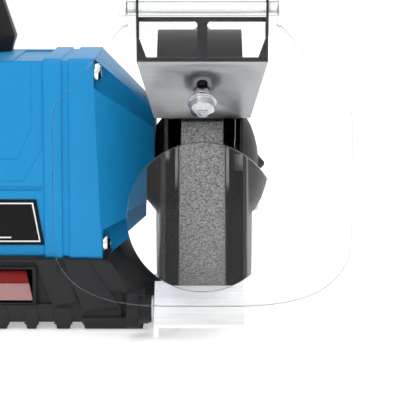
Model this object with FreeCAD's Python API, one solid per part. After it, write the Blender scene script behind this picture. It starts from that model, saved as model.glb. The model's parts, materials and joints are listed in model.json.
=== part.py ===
"""Bench grinder with two 150 mm wheels, magnifying eye shields, tool rests and a work lamp.

Frame: X runs along the spindle to the right-hand wheel, Y to the back, Z up.
The origin is the centre of the four bench bolt holes, on the bench surface.
All sizes are in millimetres.  Side parts are built for the right hand and mirrored.
"""
import FreeCAD, Part
import math
import os

V = FreeCAD.Vector

# ---- driving dimensions -------------------------------------------------------------
WHEEL_D = 150.0          # grinding wheel diameter
WHEEL_T = 25.0           # grinding wheel thickness
WHEEL_BORE = 12.7        # standard bore
AXIS_Z = 92.0            # spindle height above the bench
WHEEL_X = 140.0          # middle of each wheel from the middle of the machine

# motor housing
HOUSING_HALF_DEPTH = 60.0
HOUSING_TOP = AXIS_Z + 68.0
HOUSING_BOTTOM = AXIS_Z - 50.0
HOUSING_CHAMFER = 5.0
HOUSING_WALL = 3.0
SHELL_END_X = 58.0       # seam between the middle shell and the end covers
RIB_START_X = 46.0       # raised band next to the seam
RIB_RISE = 1.4
COVER_FULL_X = 76.0      # the end cover starts to taper here
COVER_END_X = 111.0      # small end of the end cover
COVER_END_HALF = 36.0    # half size of the small end
COVER_END_LOW = 29.0     # its lower edge below the spindle

# base
BASE_TOP_HALF_X = 92.0
BASE_FOOT_HALF_X = 114.0
BASE_TOP_HALF_Y = 58.0
BASE_FOOT_HALF_Y = 70.0
BASE_WALL = 3.0
BASE_LIFT = 3.0          # gap between the bench and the skirt
BOLT_X = 92.0            # bench bolt holes
BOLT_Y = 50.0
BOLT_HOLE_R = 3.5

# wheel guard
GUARD_R = 83.0
GUARD_WALL = 2.0
GUARD_HALF_W = 22.0      # cheeks
HOOD_HALF_W = 27.0       # the hood over the top reaches further towards the motor
BOSS_R = 33.0
BOSS_TOP_R = 24.0
OPEN_TOP_DEG = 25.5      # upper edge of the guard opening, above the spindle
OPEN_LOW_DEG = -72.0     # lower edge of the guard opening

# spindle
SHAFT_MID_R = 11.0
SEAT_R = 7.5
SPINDLE_R = WHEEL_BORE / 2
FLANGE_R = 24.0
FLANGE_T = 4.0

# motor
ROTOR_R = 31.0
STATOR_R = 45.0
STACK_HALF = 28.0
AIR_GAP = 0.6
BEARING_X = 72.0
BEARING_W = 11.0
BEARING_R = 17.5

# tool rest
REST_PIVOT_Y = -90.0
REST_PIVOT_Z = 17.2
REST_THICK = 2.5
REST_TILT_DEG = 34.0
REST_FRONT = -23.0        # table's front and back edges and its top, from the pivot
REST_BACK = 13.0
REST_TOP = 10.0
REST_WIDTH = 52.0

# eye shield
HOOD_FRONT_Y = -76.0
BEND_Y = -110.0
BEND_Z = AXIS_Z + 71.0
FRAME_TOP_Z = BEND_Z + 25.0
PLATE_T = 2.0
ROD_Y = -113.0
ROD_Z = FRAME_TOP_Z + 5.6
ROD_R = 3.0
ROLL_R = 4.8             # the pane's rolled top round the rod
SHIELD_T = 3.0
SHIELD_HALF_W = 84.0
SHIELD_TOP_HALF_W = 44.0
SHIELD_Y = -121.0
SHIELD_BOTTOM_Z = 24.3
LENS_R = 42.5
LENS_Z = 75.7
LENS_SAG = 6.0

# work lamp
LAMP_Y = 40.0            # the lamp stands at the back of the housing top
LAMP_HEAD_Y = -56.0
LAMP_TOP_Z = 292.0


# ---- helpers ------------------------------------------------------------------------
def box(x0, x1, y0, y1, z0, z1):
    return Part.makeBox(x1 - x0, y1 - y0, z1 - z0, V(x0, y0, z0))


def cyl_x(x0, x1, radius, y=0.0, z=AXIS_Z):
    return Part.makeCylinder(radius, x1 - x0, V(x0, y, z), V(1, 0, 0))


def tube_x(x0, x1, outer, inner, y=0.0, z=AXIS_Z):
    return cyl_x(x0, x1, outer, y, z).cut(cyl_x(x0 - 1, x1 + 1, inner, y, z))


def cone_x(x0, x1, r0, r1, y=0.0, z=AXIS_Z):
    return Part.makeCone(r0, r1, x1 - x0, V(x0, y, z), V(1, 0, 0))


def cyl_z(x, y, z0, z1, radius):
    return Part.makeCylinder(radius, z1 - z0, V(x, y, z0), V(0, 0, 1))


def face_of(points):
    return Part.Face(Part.makePolygon(points + [points[0]]))


def prism_x(points_yz, x0, x1):
    return face_of([V(x0, y, z) for y, z in points_yz]).extrude(V(x1 - x0, 0, 0))


def prism_y(points_xz, y0, y1):
    return face_of([V(x, y0, z) for x, z in points_xz]).extrude(V(0, y1 - y0, 0))


def hexagon_x(x0, x1, across_flats, y=0.0, z=AXIS_Z):
    radius = across_flats / math.sqrt(3)
    corners = [(y + radius * math.cos(math.radians(a)), z + radius * math.sin(math.radians(a)))
               for a in range(0, 360, 60)]
    return prism_x(corners, x0, x1)


def revolve_x(profile):
    """Solid of revolution about the spindle from (x, radius) points."""
    return face_of([V(x, 0, AXIS_Z + r) for x, r in profile]).revolve(V(0, 0, AXIS_Z), V(1, 0, 0), 360)


def mirrored(shape):
    return shape.mirror(V(0, 0, 0), V(1, 0, 0))


def pair(shape):
    """The right-hand solids and their mirror images, as one group."""
    return Part.makeCompound([shape, mirrored(shape)])


def fuse(shapes):
    return shapes[0].multiFuse(shapes[1:]).removeSplitter() if len(shapes) > 1 else shapes[0]


def turned(shape, degrees, y, z):
    """A copy turned about the X direction through (y, z)."""
    copy = shape.copy()
    copy.rotate(V(0, y, z), V(1, 0, 0), degrees)
    return copy


# ---- motor housing ------------------------------------------------------------------
def octagon(half_depth, bottom, top, chamfer):
    d, c = half_depth, chamfer
    return [(-d + c, bottom), (d - c, bottom), (d, bottom + c), (d, top - c),
            (d - c, top), (-d + c, top), (-d, top - c), (-d, bottom + c)]


def housing_prism(x0, x1, inset):
    points = octagon(HOUSING_HALF_DEPTH - inset, HOUSING_BOTTOM + inset, HOUSING_TOP - inset,
                     HOUSING_CHAMFER - inset * 0.4)
    return prism_x(points, x0, x1)


def housing_loft(x0, points0, x1, points1):
    wires = [Part.makePolygon([V(x, y, z) for y, z in pts + [pts[0]]])
             for x, pts in ((x0, points0), (x1, points1))]
    return Part.makeLoft(wires, True, True)


def housing_shell():
    body = housing_prism(-SHELL_END_X, SHELL_END_X, RIB_RISE)
    for sign in (-1, 1):
        x0, x1 = sorted((sign * RIB_START_X, sign * SHELL_END_X))
        body = body.fuse(housing_prism(x0, x1, 0.0))
    cavity = housing_prism(-SHELL_END_X - 1, SHELL_END_X + 1, HOUSING_WALL + RIB_RISE)
    return body.cut(cavity).removeSplitter()


def end_points(inset):
    half = COVER_END_HALF - inset
    return octagon(half, AXIS_Z - COVER_END_LOW + inset, AXIS_Z + half, 9.0)


def screw_places():
    """(y, z) of the four screws that hold an end cover."""
    y = HOUSING_HALF_DEPTH - 9.6
    return [(sy * y, z) for sy in (-1, 1) for z in (HOUSING_BOTTOM + 9.4, HOUSING_TOP - 9.4)]


SCREW_SEAT_X = COVER_FULL_X - 1.0


def end_cover():
    full = octagon(HOUSING_HALF_DEPTH, HOUSING_BOTTOM, HOUSING_TOP, HOUSING_CHAMFER)
    outer = housing_prism(SHELL_END_X, COVER_FULL_X, 0.0).fuse(
        housing_loft(COVER_FULL_X, full, COVER_END_X, end_points(0.0)))
    w = HOUSING_WALL
    inner_full = octagon(HOUSING_HALF_DEPTH - w, HOUSING_BOTTOM + w, HOUSING_TOP - w, HOUSING_CHAMFER)
    inner = prism_x(inner_full, SHELL_END_X - 1, COVER_FULL_X - 1).fuse(
        housing_loft(COVER_FULL_X - 1, inner_full, COVER_END_X - w, end_points(w)))
    shell = outer.cut(inner)
    for y, z in screw_places():
        pillar = cyl_x(SHELL_END_X, COVER_END_X - 3.0, 8.0, y, z).common(outer)
        shell = shell.fuse(pillar)
    for y, z in screw_places():
        shell = shell.cut(cyl_x(SCREW_SEAT_X, COVER_END_X + 5, 6.4, y, z))
        shell = shell.cut(cyl_x(SHELL_END_X - 1, SCREW_SEAT_X + 1, 2.2, y, z))
    shell = shell.cut(cyl_x(COVER_END_X - 6, COVER_END_X + 1, 15.0))
    return shell.removeSplitter()


def cover_screws():
    screws = []
    for y, z in screw_places():
        head = cyl_x(SCREW_SEAT_X, SCREW_SEAT_X + 2.5, 4.6, y, z)
        dome = cone_x(SCREW_SEAT_X + 2.5, SCREW_SEAT_X + 4.2, 4.6, 2.8, y, z)
        slot = hexagon_x(SCREW_SEAT_X + 2.2, SCREW_SEAT_X + 5, 3.6, y, z)
        shank = cyl_x(SHELL_END_X + 0.5, SCREW_SEAT_X, 2.0, y, z)
        screws.append(fuse([head, dome, shank]).cut(slot))
    return Part.makeCompound(screws + [mirrored(s) for s in screws])


def name_plate():
    """Blank plate on the front of the housing, wider at its foot."""
    front = -(HOUSING_HALF_DEPTH - RIB_RISE)
    points = [(-43.0, 76.0), (43.0, 76.0), (45.8, 50.0), (-45.8, 50.0)]
    return prism_y(points, front - 1.0, front)


# ---- base ---------------------------------------------------------------------------
def base_frustum(inset, z0, z1):
    def ring(z):
        t = (z - BASE_LIFT) / (HOUSING_BOTTOM - BASE_LIFT)
        hx = BASE_FOOT_HALF_X + t * (BASE_TOP_HALF_X - BASE_FOOT_HALF_X) - inset
        hy = BASE_FOOT_HALF_Y + t * (BASE_TOP_HALF_Y - BASE_FOOT_HALF_Y) - inset
        c = 14.0
        pts = [(-hx + c, -hy), (hx - c, -hy), (hx, -hy + c), (hx, hy - c),
               (hx - c, hy), (-hx + c, hy), (-hx, hy - c), (-hx, -hy + c)]
        return Part.makePolygon([V(x, y, z) for x, y in pts + [pts[0]]])
    return Part.makeLoft([ring(z0), ring(z1)], True, True)


SWITCH_X = 27.0
SWITCH_Z = 26.5
SWITCH_HALF_W = 14.5
SWITCH_HALF_H = 11.5


def base_shell():
    outer = base_frustum(0.0, BASE_LIFT, HOUSING_BOTTOM)
    inner = base_frustum(BASE_WALL, BASE_LIFT - 0.001, HOUSING_BOTTOM - BASE_WALL)
    shell = outer.cut(inner)
    for sx in (-1, 1):
        for sy in (-1, 1):
            lug = cyl_z(sx * BOLT_X, sy * BOLT_Y, BASE_LIFT + 2.0, 16.0, 9.0)
            lug = lug.cut(cyl_z(sx * BOLT_X, sy * BOLT_Y, 0, 20, BOLT_HOLE_R))
            shell = shell.fuse(lug)
            shell = shell.cut(cyl_z(sx * BOLT_X, sy * BOLT_Y, 16.0, 70.0, 7.0))
    shell = shell.cut(box(-24.0, 24.0, -20.0, 20.0, HOUSING_BOTTOM - 10, HOUSING_BOTTOM + 1))
    window = box(SWITCH_X - SWITCH_HALF_W, SWITCH_X + SWITCH_HALF_W, -90.0, -50.0,
                 SWITCH_Z - SWITCH_HALF_H, SWITCH_Z + SWITCH_HALF_H)
    shell = shell.cut(window)
    shell = shell.cut(Part.makeCylinder(6.0, 40, V(-60, 50, 22), V(0, 1, 0)))
    return shell.removeSplitter()


def base_plate():
    plate = base_frustum(BASE_WALL + 1.0, BASE_LIFT, BASE_LIFT + 1.5)
    for sx in (-1, 1):
        for sy in (-1, 1):
            plate = plate.cut(cyl_z(sx * BOLT_X, sy * BOLT_Y, 0, 10, BOLT_HOLE_R))
    for x in (-40.0, -20.0, 0.0, 20.0, 40.0):
        plate = plate.cut(box(x - 3, x + 3, -18, 18, 0, 10))
    return plate


def rubber_feet():
    feet = []
    for sx in (-1, 1):
        for sy in (-1, 1):
            foot = Part.makeCone(11.0, 12.0, BASE_LIFT, V(sx * BOLT_X, sy * BOLT_Y, 0), V(0, 0, 1))
            feet.append(foot.cut(cyl_z(sx * BOLT_X, sy * BOLT_Y, -1, 5, BOLT_HOLE_R)))
    return Part.makeCompound(feet)


# ---- switch and wiring parts --------------------------------------------------------
def switch_bezel():
    """Frame that lines the window in the base's front wall."""
    half_w, half_h = SWITCH_HALF_W - 0.1, SWITCH_HALF_H - 0.1
    outer = box(SWITCH_X - half_w, SWITCH_X + half_w, BEZEL_FRONT_Y, -58.1, SWITCH_Z - half_h, SWITCH_Z + half_h)
    return outer.cut(box(SWITCH_X - 12.0, SWITCH_X + 12.0, -80, -50, SWITCH_Z - 10.0, SWITCH_Z + 10.0))


SWITCH_BODY_FRONT = -58.0
BEZEL_FRONT_Y = -67.5


def switch_body():
    x0, x1 = SWITCH_X - 13.5, SWITCH_X + 13.5
    body = box(x0, x1, SWITCH_BODY_FRONT, -36.0, SWITCH_Z - 11.0, SWITCH_Z + 11.0)
    hollow = box(x0 + 1.5, x1 - 1.5, SWITCH_BODY_FRONT - 1, -44.0, SWITCH_Z - 9.8, SWITCH_Z + 9.8)
    blades = [box(SWITCH_X + dx - 0.4, SWITCH_X + dx + 0.4, -36.0, -28.0, SWITCH_Z + dz - 3, SWITCH_Z + dz + 3)
              for dx in (-5, 5) for dz in (-6, 6)]
    return fuse([body.cut(hollow)] + blades)




def switch_rocker():
    """A see-saw rocker, proud at its lower half."""
    profile = [(-54.0, SWITCH_Z - 5.0), (-54.0, SWITCH_Z + 5.0), (-62.0, SWITCH_Z + 8.0),
               (-64.5, SWITCH_Z), (-67.0, SWITCH_Z - 8.0)]
    return prism_x(profile, SWITCH_X - 11.4, SWITCH_X + 11.4)


def capacitor():
    can = cyl_x(-52.0, 2.0, 13.0, 28.0, 21.0)
    return fuse([can] + [box(2.0, 8.0, 28 + dy - 3, 28 + dy + 3, 20.6, 21.4) for dy in (-6, 6)])


def terminal_block():
    block = box(60, 84, 10, 34, BASE_LIFT + 2.0, 18)
    return fuse([block] + [box(60, 84, y - 0.8, y + 0.8, 17.9, 21) for y in (10.8, 18, 26, 33.2)])


def cable_gland():
    """Strain relief bushing for the mains lead, in the back wall."""
    outer = Part.makeCylinder(5.8, 14, V(-60, 58.0, 22), V(0, 1, 0))
    nut = Part.makeCylinder(9.0, 4.5, V(-60, 67.2, 22), V(0, 1, 0))
    bore = Part.makeCylinder(3.6, 30, V(-60, 50, 22), V(0, 1, 0))
    return outer.fuse(nut).cut(bore).removeSplitter()


# ---- motor --------------------------------------------------------------------------
def shaft():
    mid = STACK_HALF + 20.0
    seat = BEARING_X + BEARING_W / 2
    inner = WHEEL_X - WHEEL_T / 2 - FLANGE_T - 3.0
    tip = WHEEL_X + WHEEL_T / 2 + FLANGE_T + 13.0
    half = [(mid, SHAFT_MID_R), (mid, SEAT_R + 1.0), (BEARING_X - BEARING_W / 2, SEAT_R + 1.0),
            (BEARING_X - BEARING_W / 2, SEAT_R), (inner, SEAT_R), (inner, SPINDLE_R - 0.05), (tip - 1.0, SPINDLE_R - 0.05),
            (tip, SPINDLE_R - 1.0)]
    left = [(-x, r) for x, r in reversed(half)]
    return revolve_x([(-tip, 0.0)] + left + half + [(tip, 0.0)])


def rotor_core():
    core = tube_x(-STACK_HALF, STACK_HALF, ROTOR_R, SHAFT_MID_R)
    for a in range(0, 360, 20):
        y = (ROTOR_R - 3.0) * math.cos(math.radians(a))
        z = AXIS_Z + (ROTOR_R - 3.0) * math.sin(math.radians(a))
        core = core.cut(cyl_x(-STACK_HALF - 1, STACK_HALF + 1, 2.0, y, z))
    return core


def rotor_cage():
    """Cast aluminium end rings and the bars that join them."""
    rings = [tube_x(x, x + 6.0, ROTOR_R - 0.5, 20.0) for x in (-STACK_HALF - 6.0, STACK_HALF)]
    bars = []
    for a in range(0, 360, 20):
        y = (ROTOR_R - 3.0) * math.cos(math.radians(a))
        z = AXIS_Z + (ROTOR_R - 3.0) * math.sin(math.radians(a))
        bars.append(cyl_x(-STACK_HALF - 1, STACK_HALF + 1, 1.95, y, z))
    return fuse(rings + bars)


def cooling_fan():
    hub = tube_x(-46.0, -38.0, 15.0, SHAFT_MID_R)
    blades = []
    for a in range(0, 360, 45):
        blade = box(-45.0, -38.5, 13.0, 34.0, AXIS_Z - 1.0, AXIS_Z + 1.0)
        blade.rotate(V(0, 0, AXIS_Z), V(1, 0, 0), a)
        blades.append(blade)
    return fuse([hub] + blades)


def stator_core():
    core = tube_x(-STACK_HALF, STACK_HALF, STATOR_R, ROTOR_R + AIR_GAP)
    for a in range(0, 360, 15):
        slot = box(-STACK_HALF - 1, STACK_HALF + 1, ROTOR_R, STATOR_R - 5.0, AXIS_Z - 1.6, AXIS_Z + 1.6)
        slot.rotate(V(0, 0, AXIS_Z), V(1, 0, 0), a)
        core = core.cut(slot)
    return core


def stator_windings():
    """Copper coil sides in the slots, joined by the end turns."""
    parts = [tube_x(x, x + 9.0, STATOR_R - 4.0, ROTOR_R + 4.0) for x in (-STACK_HALF - 9.2, STACK_HALF + 0.2)]
    for a in range(0, 360, 15):
        side = box(-STACK_HALF - 1, STACK_HALF + 1, ROTOR_R + 4.5, STATOR_R - 5.4, AXIS_Z - 1.4, AXIS_Z + 1.4)
        side.rotate(V(0, 0, AXIS_Z), V(1, 0, 0), a)
        parts.append(side)
    return fuse(parts)


def stator_saddles():
    """Four wedges that carry the stator in the housing shell."""
    inner_half = HOUSING_HALF_DEPTH - HOUSING_WALL - RIB_RISE
    top = HOUSING_TOP - HOUSING_WALL - RIB_RISE
    bottom = HOUSING_BOTTOM + HOUSING_WALL + RIB_RISE
    bars = [box(-20, 20, -inner_half, -STATOR_R + 6, AXIS_Z - 6, AXIS_Z + 6),
            box(-20, 20, STATOR_R - 6, inner_half, AXIS_Z - 6, AXIS_Z + 6),
            box(-20, 20, -6, 6, AXIS_Z + STATOR_R - 6, top)]
    if AXIS_Z - STATOR_R > bottom:
        bars.append(box(-20, 20, -6, 6, bottom, AXIS_Z - STATOR_R + 6))
    core = cyl_x(-30, 30, STATOR_R)
    return Part.makeCompound([bar.cut(core) for bar in bars if bar.cut(core).Volume > 1])


def bearing_bracket():
    """Cast end bracket: a bearing pocket on a spoked plate."""
    x0, x1 = BEARING_X - BEARING_W / 2, BEARING_X + BEARING_W / 2
    pocket = tube_x(x0 - 2, x1, BEARING_R + 5, BEARING_R).fuse(tube_x(x0 - 2, x0, BEARING_R + 1, SEAT_R + 3.5))
    inner_half = HOUSING_HALF_DEPTH - HOUSING_WALL
    points = octagon(inner_half, HOUSING_BOTTOM + HOUSING_WALL, HOUSING_TOP - HOUSING_WALL, 20.0)
    plate = prism_x(points, SHELL_END_X + 1.0, SHELL_END_X + 5.0)
    for y, z in screw_places():
        plate = plate.cut(cyl_x(SHELL_END_X - 1, SHELL_END_X + 8, 8.3, y, z))
    plate = plate.cut(cyl_x(SHELL_END_X - 1, SHELL_END_X + 8, BEARING_R + 4))
    for a in range(45, 405, 90):
        window = box(SHELL_END_X, SHELL_END_X + 8, 26, 38, AXIS_Z - 9, AXIS_Z + 9)
        window.rotate(V(0, 0, AXIS_Z), V(1, 0, 0), a)
        plate = plate.cut(window)
    cone = cone_x(SHELL_END_X + 1.0, x0 + 1, BEARING_R + 8, BEARING_R + 5)
    cone = cone.cut(cyl_x(0, 99, BEARING_R + 2))
    return fuse([plate, cone, pocket])


def bearing_outer():
    x0, x1 = BEARING_X - BEARING_W / 2, BEARING_X + BEARING_W / 2
    groove = Part.makeTorus(12.5, 2.6, V(BEARING_X, 0, AXIS_Z), V(1, 0, 0))
    return tube_x(x0, x1, BEARING_R, 14.3).cut(groove)


def bearing_inner():
    x0, x1 = BEARING_X - BEARING_W / 2, BEARING_X + BEARING_W / 2
    groove = Part.makeTorus(12.5, 2.6, V(BEARING_X, 0, AXIS_Z), V(1, 0, 0))
    return tube_x(x0, x1, 10.7, SEAT_R).cut(groove)


def bearing_balls():
    balls = []
    for a in range(0, 360, 45):
        y, z = 12.5 * math.cos(math.radians(a)), AXIS_Z + 12.5 * math.sin(math.radians(a))
        balls.append(Part.makeSphere(2.5, V(BEARING_X, y, z)))
    return Part.makeCompound(balls + [mirrored(b) for b in balls])


# ---- wheel, flanges, nut ------------------------------------------------------------
def grinding_wheel():
    x0, x1 = WHEEL_X - WHEEL_T / 2, WHEEL_X + WHEEL_T / 2
    edge = 0.6
    r, b = WHEEL_D / 2, SPINDLE_R
    return revolve_x([(x0, b), (x0, r - edge), (x0 + edge, r), (x1 - edge, r), (x1, r - edge), (x1, b)])


def wheel_flanges():
    x0, x1 = WHEEL_X - WHEEL_T / 2, WHEEL_X + WHEEL_T / 2
    inner = revolve_x([(x0 - FLANGE_T, SPINDLE_R), (x0 - FLANGE_T, FLANGE_R - 3), (x0 - 1.5, FLANGE_R),
                       (x0, FLANGE_R), (x0, FLANGE_R - 5), (x0 - 1.0, FLANGE_R - 5), (x0 - 1.0, SPINDLE_R)])
    outer = revolve_x([(x1 + FLANGE_T, SPINDLE_R), (x1 + FLANGE_T, FLANGE_R - 3), (x1 + 1.5, FLANGE_R),
                       (x1, FLANGE_R), (x1, FLANGE_R - 5), (x1 + 1.0, FLANGE_R - 5), (x1 + 1.0, SPINDLE_R)])
    return Part.makeCompound([inner, outer])


def spindle_nut():
    x0 = WHEEL_X + WHEEL_T / 2 + FLANGE_T
    return hexagon_x(x0, x0 + 9.0, 19.0).cut(cyl_x(x0 - 1, x0 + 12, SPINDLE_R))


# ---- guard --------------------------------------------------------------------------
def guard_sector(radius, x0, x1, start_deg, end_deg):
    """Pie slice about the spindle.  Angles run from the front, upwards to the back."""
    steps = 12
    points = [(0.0, AXIS_Z)]
    for i in range(steps + 1):
        a = math.radians(start_deg + (end_deg - start_deg) * i / steps)
        points.append((-radius * math.cos(a), AXIS_Z + radius * math.sin(a)))
    return prism_x(points, x0, x1)


def guard_shell():
    """Drum with its inner cheek, the wider hood on top, and the boss next to the motor."""
    xl, xr = WHEEL_X - GUARD_HALF_W, WHEEL_X + GUARD_HALF_W
    w = GUARD_WALL
    drum = cyl_x(xl, xr, GUARD_R)
    hood_z = AXIS_Z + GUARD_R * math.sin(math.radians(OPEN_TOP_DEG))
    above = box(0, 300, -200, 200, hood_z, 400)
    hood_right = xr + 0.1 + w
    hood = cyl_x(WHEEL_X - HOOD_HALF_W, hood_right, GUARD_R).common(above)
    hood_cavity = cyl_x(WHEEL_X - HOOD_HALF_W + w, hood_right - w, GUARD_R - w).common(
        box(0, 300, -200, 200, hood_z - 1, 400))
    boss = cone_x(COVER_END_X + 0.3, xl + 0.5, BOSS_TOP_R, BOSS_R)
    solid = drum.fuse(hood).fuse(boss)
    solid = solid.cut(cyl_x(xl + w, xr + 1, GUARD_R - w)).cut(hood_cavity)
    opening = guard_sector(GUARD_R + 20, xl + w, xr + 10, OPEN_LOW_DEG, OPEN_TOP_DEG)
    ring_only = opening.cut(cyl_x(0, 300, GUARD_R - 9))
    solid = solid.cut(ring_only)
    solid = solid.cut(cyl_x(COVER_END_X - 5, xl + w + 1, SEAT_R + 3.0))
    return solid.fuse(guard_tab()).removeSplitter()


def guard_screw_places():
    r = GUARD_R - 10.0
    return [(-r * math.cos(math.radians(a)), AXIS_Z + r * math.sin(math.radians(a)))
            for a in (-95.0, 180.0, -150.0)]


def guard_cover():
    """Outer cheek with a domed middle and a pointed centre cap."""
    x0 = WHEEL_X + GUARD_HALF_W + 0.1
    hood_z = AXIS_Z + GUARD_R * math.sin(math.radians(OPEN_TOP_DEG)) - 0.2
    w = GUARD_WALL
    plate = cyl_x(x0, x0 + w, GUARD_R - 0.5)
    plate = plate.cut(box(0, 300, -200, 200, hood_z, 400))
    outer = revolve_x([(x0, 0), (x0, BOSS_R), (x0 + w, BOSS_R), (x0 + 5.0, 29.5), (x0 + 8.2, 24.0),
                       (x0 + 10.6, 17.0), (x0 + 12.2, 10.0), (x0 + 12.7, 5.5), (x0 + 16.6, 1.0), (x0 + 16.6, 0)])
    inner = revolve_x([(x0 - 1, 0), (x0 - 1, BOSS_R - 3), (x0 + w - 0.5, BOSS_R - 3), (x0 + 4.0, 26.5),
                       (x0 + 8.0, 17.0), (x0 + 10.5, 8.0), (x0 + 10.5, 0)])
    return plate.fuse(outer).cut(inner).removeSplitter()


def guard_screws():
    x0 = WHEEL_X + GUARD_HALF_W + 0.1 + GUARD_WALL
    return Part.makeCompound([fuse([cyl_x(x0, x0 + 2.4, 4.0, y, z), cone_x(x0 + 2.4, x0 + 3.4, 4.0, 2.6, y, z)])
                              for y, z in guard_screw_places()])


# ---- tool rest ----------------------------------------------------------------------
def rest_arm():
    """Welded arm on the inner cheek that carries the rest's pivot bolt."""
    xl = WHEEL_X - GUARD_HALF_W
    y, z = REST_PIVOT_Y, REST_PIVOT_Z
    arm = prism_x([(-40.0, 22.0), (-40.0, 34.0), (-62.0, 34.0), (y + 12.0, z + 6.0), (y, z + 6.5), (y, z - 6.5)],
                  xl - 3.0, xl - 0.2)
    arm = arm.fuse(cyl_x(xl - 3.0, xl - 0.2, 6.8, REST_PIVOT_Y, REST_PIVOT_Z))
    return arm.cut(cyl_x(xl - 6, xl + 3, 3.2, REST_PIVOT_Y, REST_PIVOT_Z)).removeSplitter()


def tool_rest():
    """Angle plate: slotted leg on the pivot bolt and the table above it, tilted to the front."""
    leg_x0 = WHEEL_X - GUARD_HALF_W - 3.0 - 0.3 - REST_THICK
    y, z = REST_PIVOT_Y, REST_PIVOT_Z
    leg = prism_x([(y + REST_FRONT, z + REST_TOP), (y + REST_BACK, z + REST_TOP), (y + 10.0, z - 8.0),
                   (y - 8.0, z - 9.5), (y + REST_FRONT - 1.5, z + 1.5)], leg_x0, leg_x0 + REST_THICK)
    table = box(leg_x0, leg_x0 + REST_WIDTH, y + REST_FRONT, y + REST_BACK, z + REST_TOP - REST_THICK, z + REST_TOP)
    rest = leg.fuse(table)
    rest = rest.cut(cyl_x(leg_x0 - 1, leg_x0 + REST_THICK + 1, 3.2, REST_PIVOT_Y, REST_PIVOT_Z))
    return turned(rest, REST_TILT_DEG, REST_PIVOT_Y, REST_PIVOT_Z)


def rest_bolt():
    """Pivot bolt with its head on the guard side, and washers under the knob."""
    xl = WHEEL_X - GUARD_HALF_W
    leg_x0 = xl - 3.0 - 0.3 - REST_THICK
    y, z = REST_PIVOT_Y, REST_PIVOT_Z
    head = hexagon_x(xl, xl + 4.0, 10.0, y, z)
    shank = cyl_x(leg_x0 - 16.0, xl, 3.0, y, z)
    washer = cyl_x(leg_x0 - 1.8, leg_x0 - 0.2, 8.0, y, z)
    return fuse([head, shank, washer])


def rest_knob():
    """Star knob with eight short lobes on a round skirt."""
    xl = WHEEL_X - GUARD_HALF_W
    x1 = xl - 3.0 - 0.3 - REST_THICK - 2.0
    y, z = REST_PIVOT_Y, REST_PIVOT_Z
    skirt = cyl_x(x1 - 9.0, x1, 8.0, y, z)
    star = cyl_x(x1 - 14.0, x1 - 7.0, 9.3, y, z)
    for a in range(0, 360, 60):
        lobe_y, lobe_z = y + 8.6 * math.cos(math.radians(a)), z + 8.6 * math.sin(math.radians(a))
        star = star.fuse(cyl_x(x1 - 14.0, x1 - 7.0, 2.9, lobe_y, lobe_z))
    return skirt.fuse(star).cut(cyl_x(x1 - 14.1, x1 + 1, 3.02, y, z)).removeSplitter()


# ---- eye shield ---------------------------------------------------------------------
def plate_direction():
    run_y, run_z = BEND_Y - HOOD_FRONT_Y, BEND_Z - PLATE_LOW_Z
    length = math.hypot(run_y, run_z)
    return run_y / length, run_z / length


PLATE_LOW_Z = AXIS_Z + GUARD_R * math.sin(math.radians(OPEN_TOP_DEG)) + 1.5
FRAME_HALF_TOP = 37.0
FRAME_HALF_BEND = 37.0
PLATE_HALF_LOW = 28.0
EAR_T = 1.3


def sheet_between(y0, z0, y1, z1, half0, half1, thick):
    """Flat trapezoid sheet whose middle line runs from (y0, z0) to (y1, z1)."""
    a, b, c, d = (V(WHEEL_X - half0, y0, z0), V(WHEEL_X + half0, y0, z0),
                  V(WHEEL_X + half1, y1, z1), V(WHEEL_X - half1, y1, z1))
    normal = (b - a).cross(d - a)
    normal.normalize()
    return face_of([a, b, c, d]).extrude(normal * thick)


def bracket_bolt_axis():
    """Point on the plate and its outward direction, for the clamp bolt."""
    uy, uz = plate_direction()
    along = 0.50
    y = HOOD_FRONT_Y + (BEND_Y - HOOD_FRONT_Y) * along
    z = PLATE_LOW_Z + (BEND_Z - PLATE_LOW_Z) * along
    return V(WHEEL_X, y, z), V(0, -uz, uy)


def shield_bracket():
    """Folded sheet: slotted plate, upright frame with two windows, and ears for the hinge rod."""
    plate = sheet_between(HOOD_FRONT_Y, PLATE_LOW_Z, BEND_Y, BEND_Z, PLATE_HALF_LOW, FRAME_HALF_BEND, PLATE_T)
    frame = sheet_between(BEND_Y, BEND_Z - 1.4, BEND_Y, FRAME_TOP_Z, FRAME_HALF_BEND, FRAME_HALF_TOP, PLATE_T)
    neck = 2.8
    for sign in (-1, 1):
        window = [(neck, FRAME_TOP_Z - 6.5), (neck + 2.0, FRAME_TOP_Z - 2.6), (FRAME_HALF_TOP - 1.6, FRAME_TOP_Z - 2.6),
                  (FRAME_HALF_TOP - 1.6, FRAME_TOP_Z - 12.0), (FRAME_HALF_TOP - 5.5, BEND_Z + 1.0), (neck, BEND_Z + 1.0)]
        frame = frame.cut(prism_y([(WHEEL_X + sign * x, z) for x, z in window], BEND_Y - 5, BEND_Y + 5))
    bracket = plate.fuse(frame)
    for sign in (-1, 1):
        x0, x1 = sorted((WHEEL_X + sign * FRAME_HALF_BEND, WHEEL_X + sign * (FRAME_HALF_BEND - EAR_T)))
        ear = prism_x([(BEND_Y, BEND_Z), (BEND_Y, ROD_Z - 4), (BEND_Y + 1, ROD_Z + 4.5), (ROD_Y - 4.5, ROD_Z + 4.5),
                       (ROD_Y - 4.5, ROD_Z - 5),
                       (BEND_Y - 3, BEND_Z + 6)], x0, x1)
        bracket = bracket.fuse(ear)
    point, out = bracket_bolt_axis()
    slot = Part.makeCylinder(3.2, 30, point - out * 15, out)
    uy, uz = plate_direction()
    for i in range(-3, 4):
        shifted = slot.copy()
        shifted.translate(V(0, uy * i * 2.0, uz * i * 2.0))
        bracket = bracket.cut(shifted)
    bracket = bracket.cut(cyl_x(WHEEL_X - 60, WHEEL_X + 60, ROD_R + 0.05, ROD_Y, ROD_Z))
    return bracket.removeSplitter()


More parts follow.
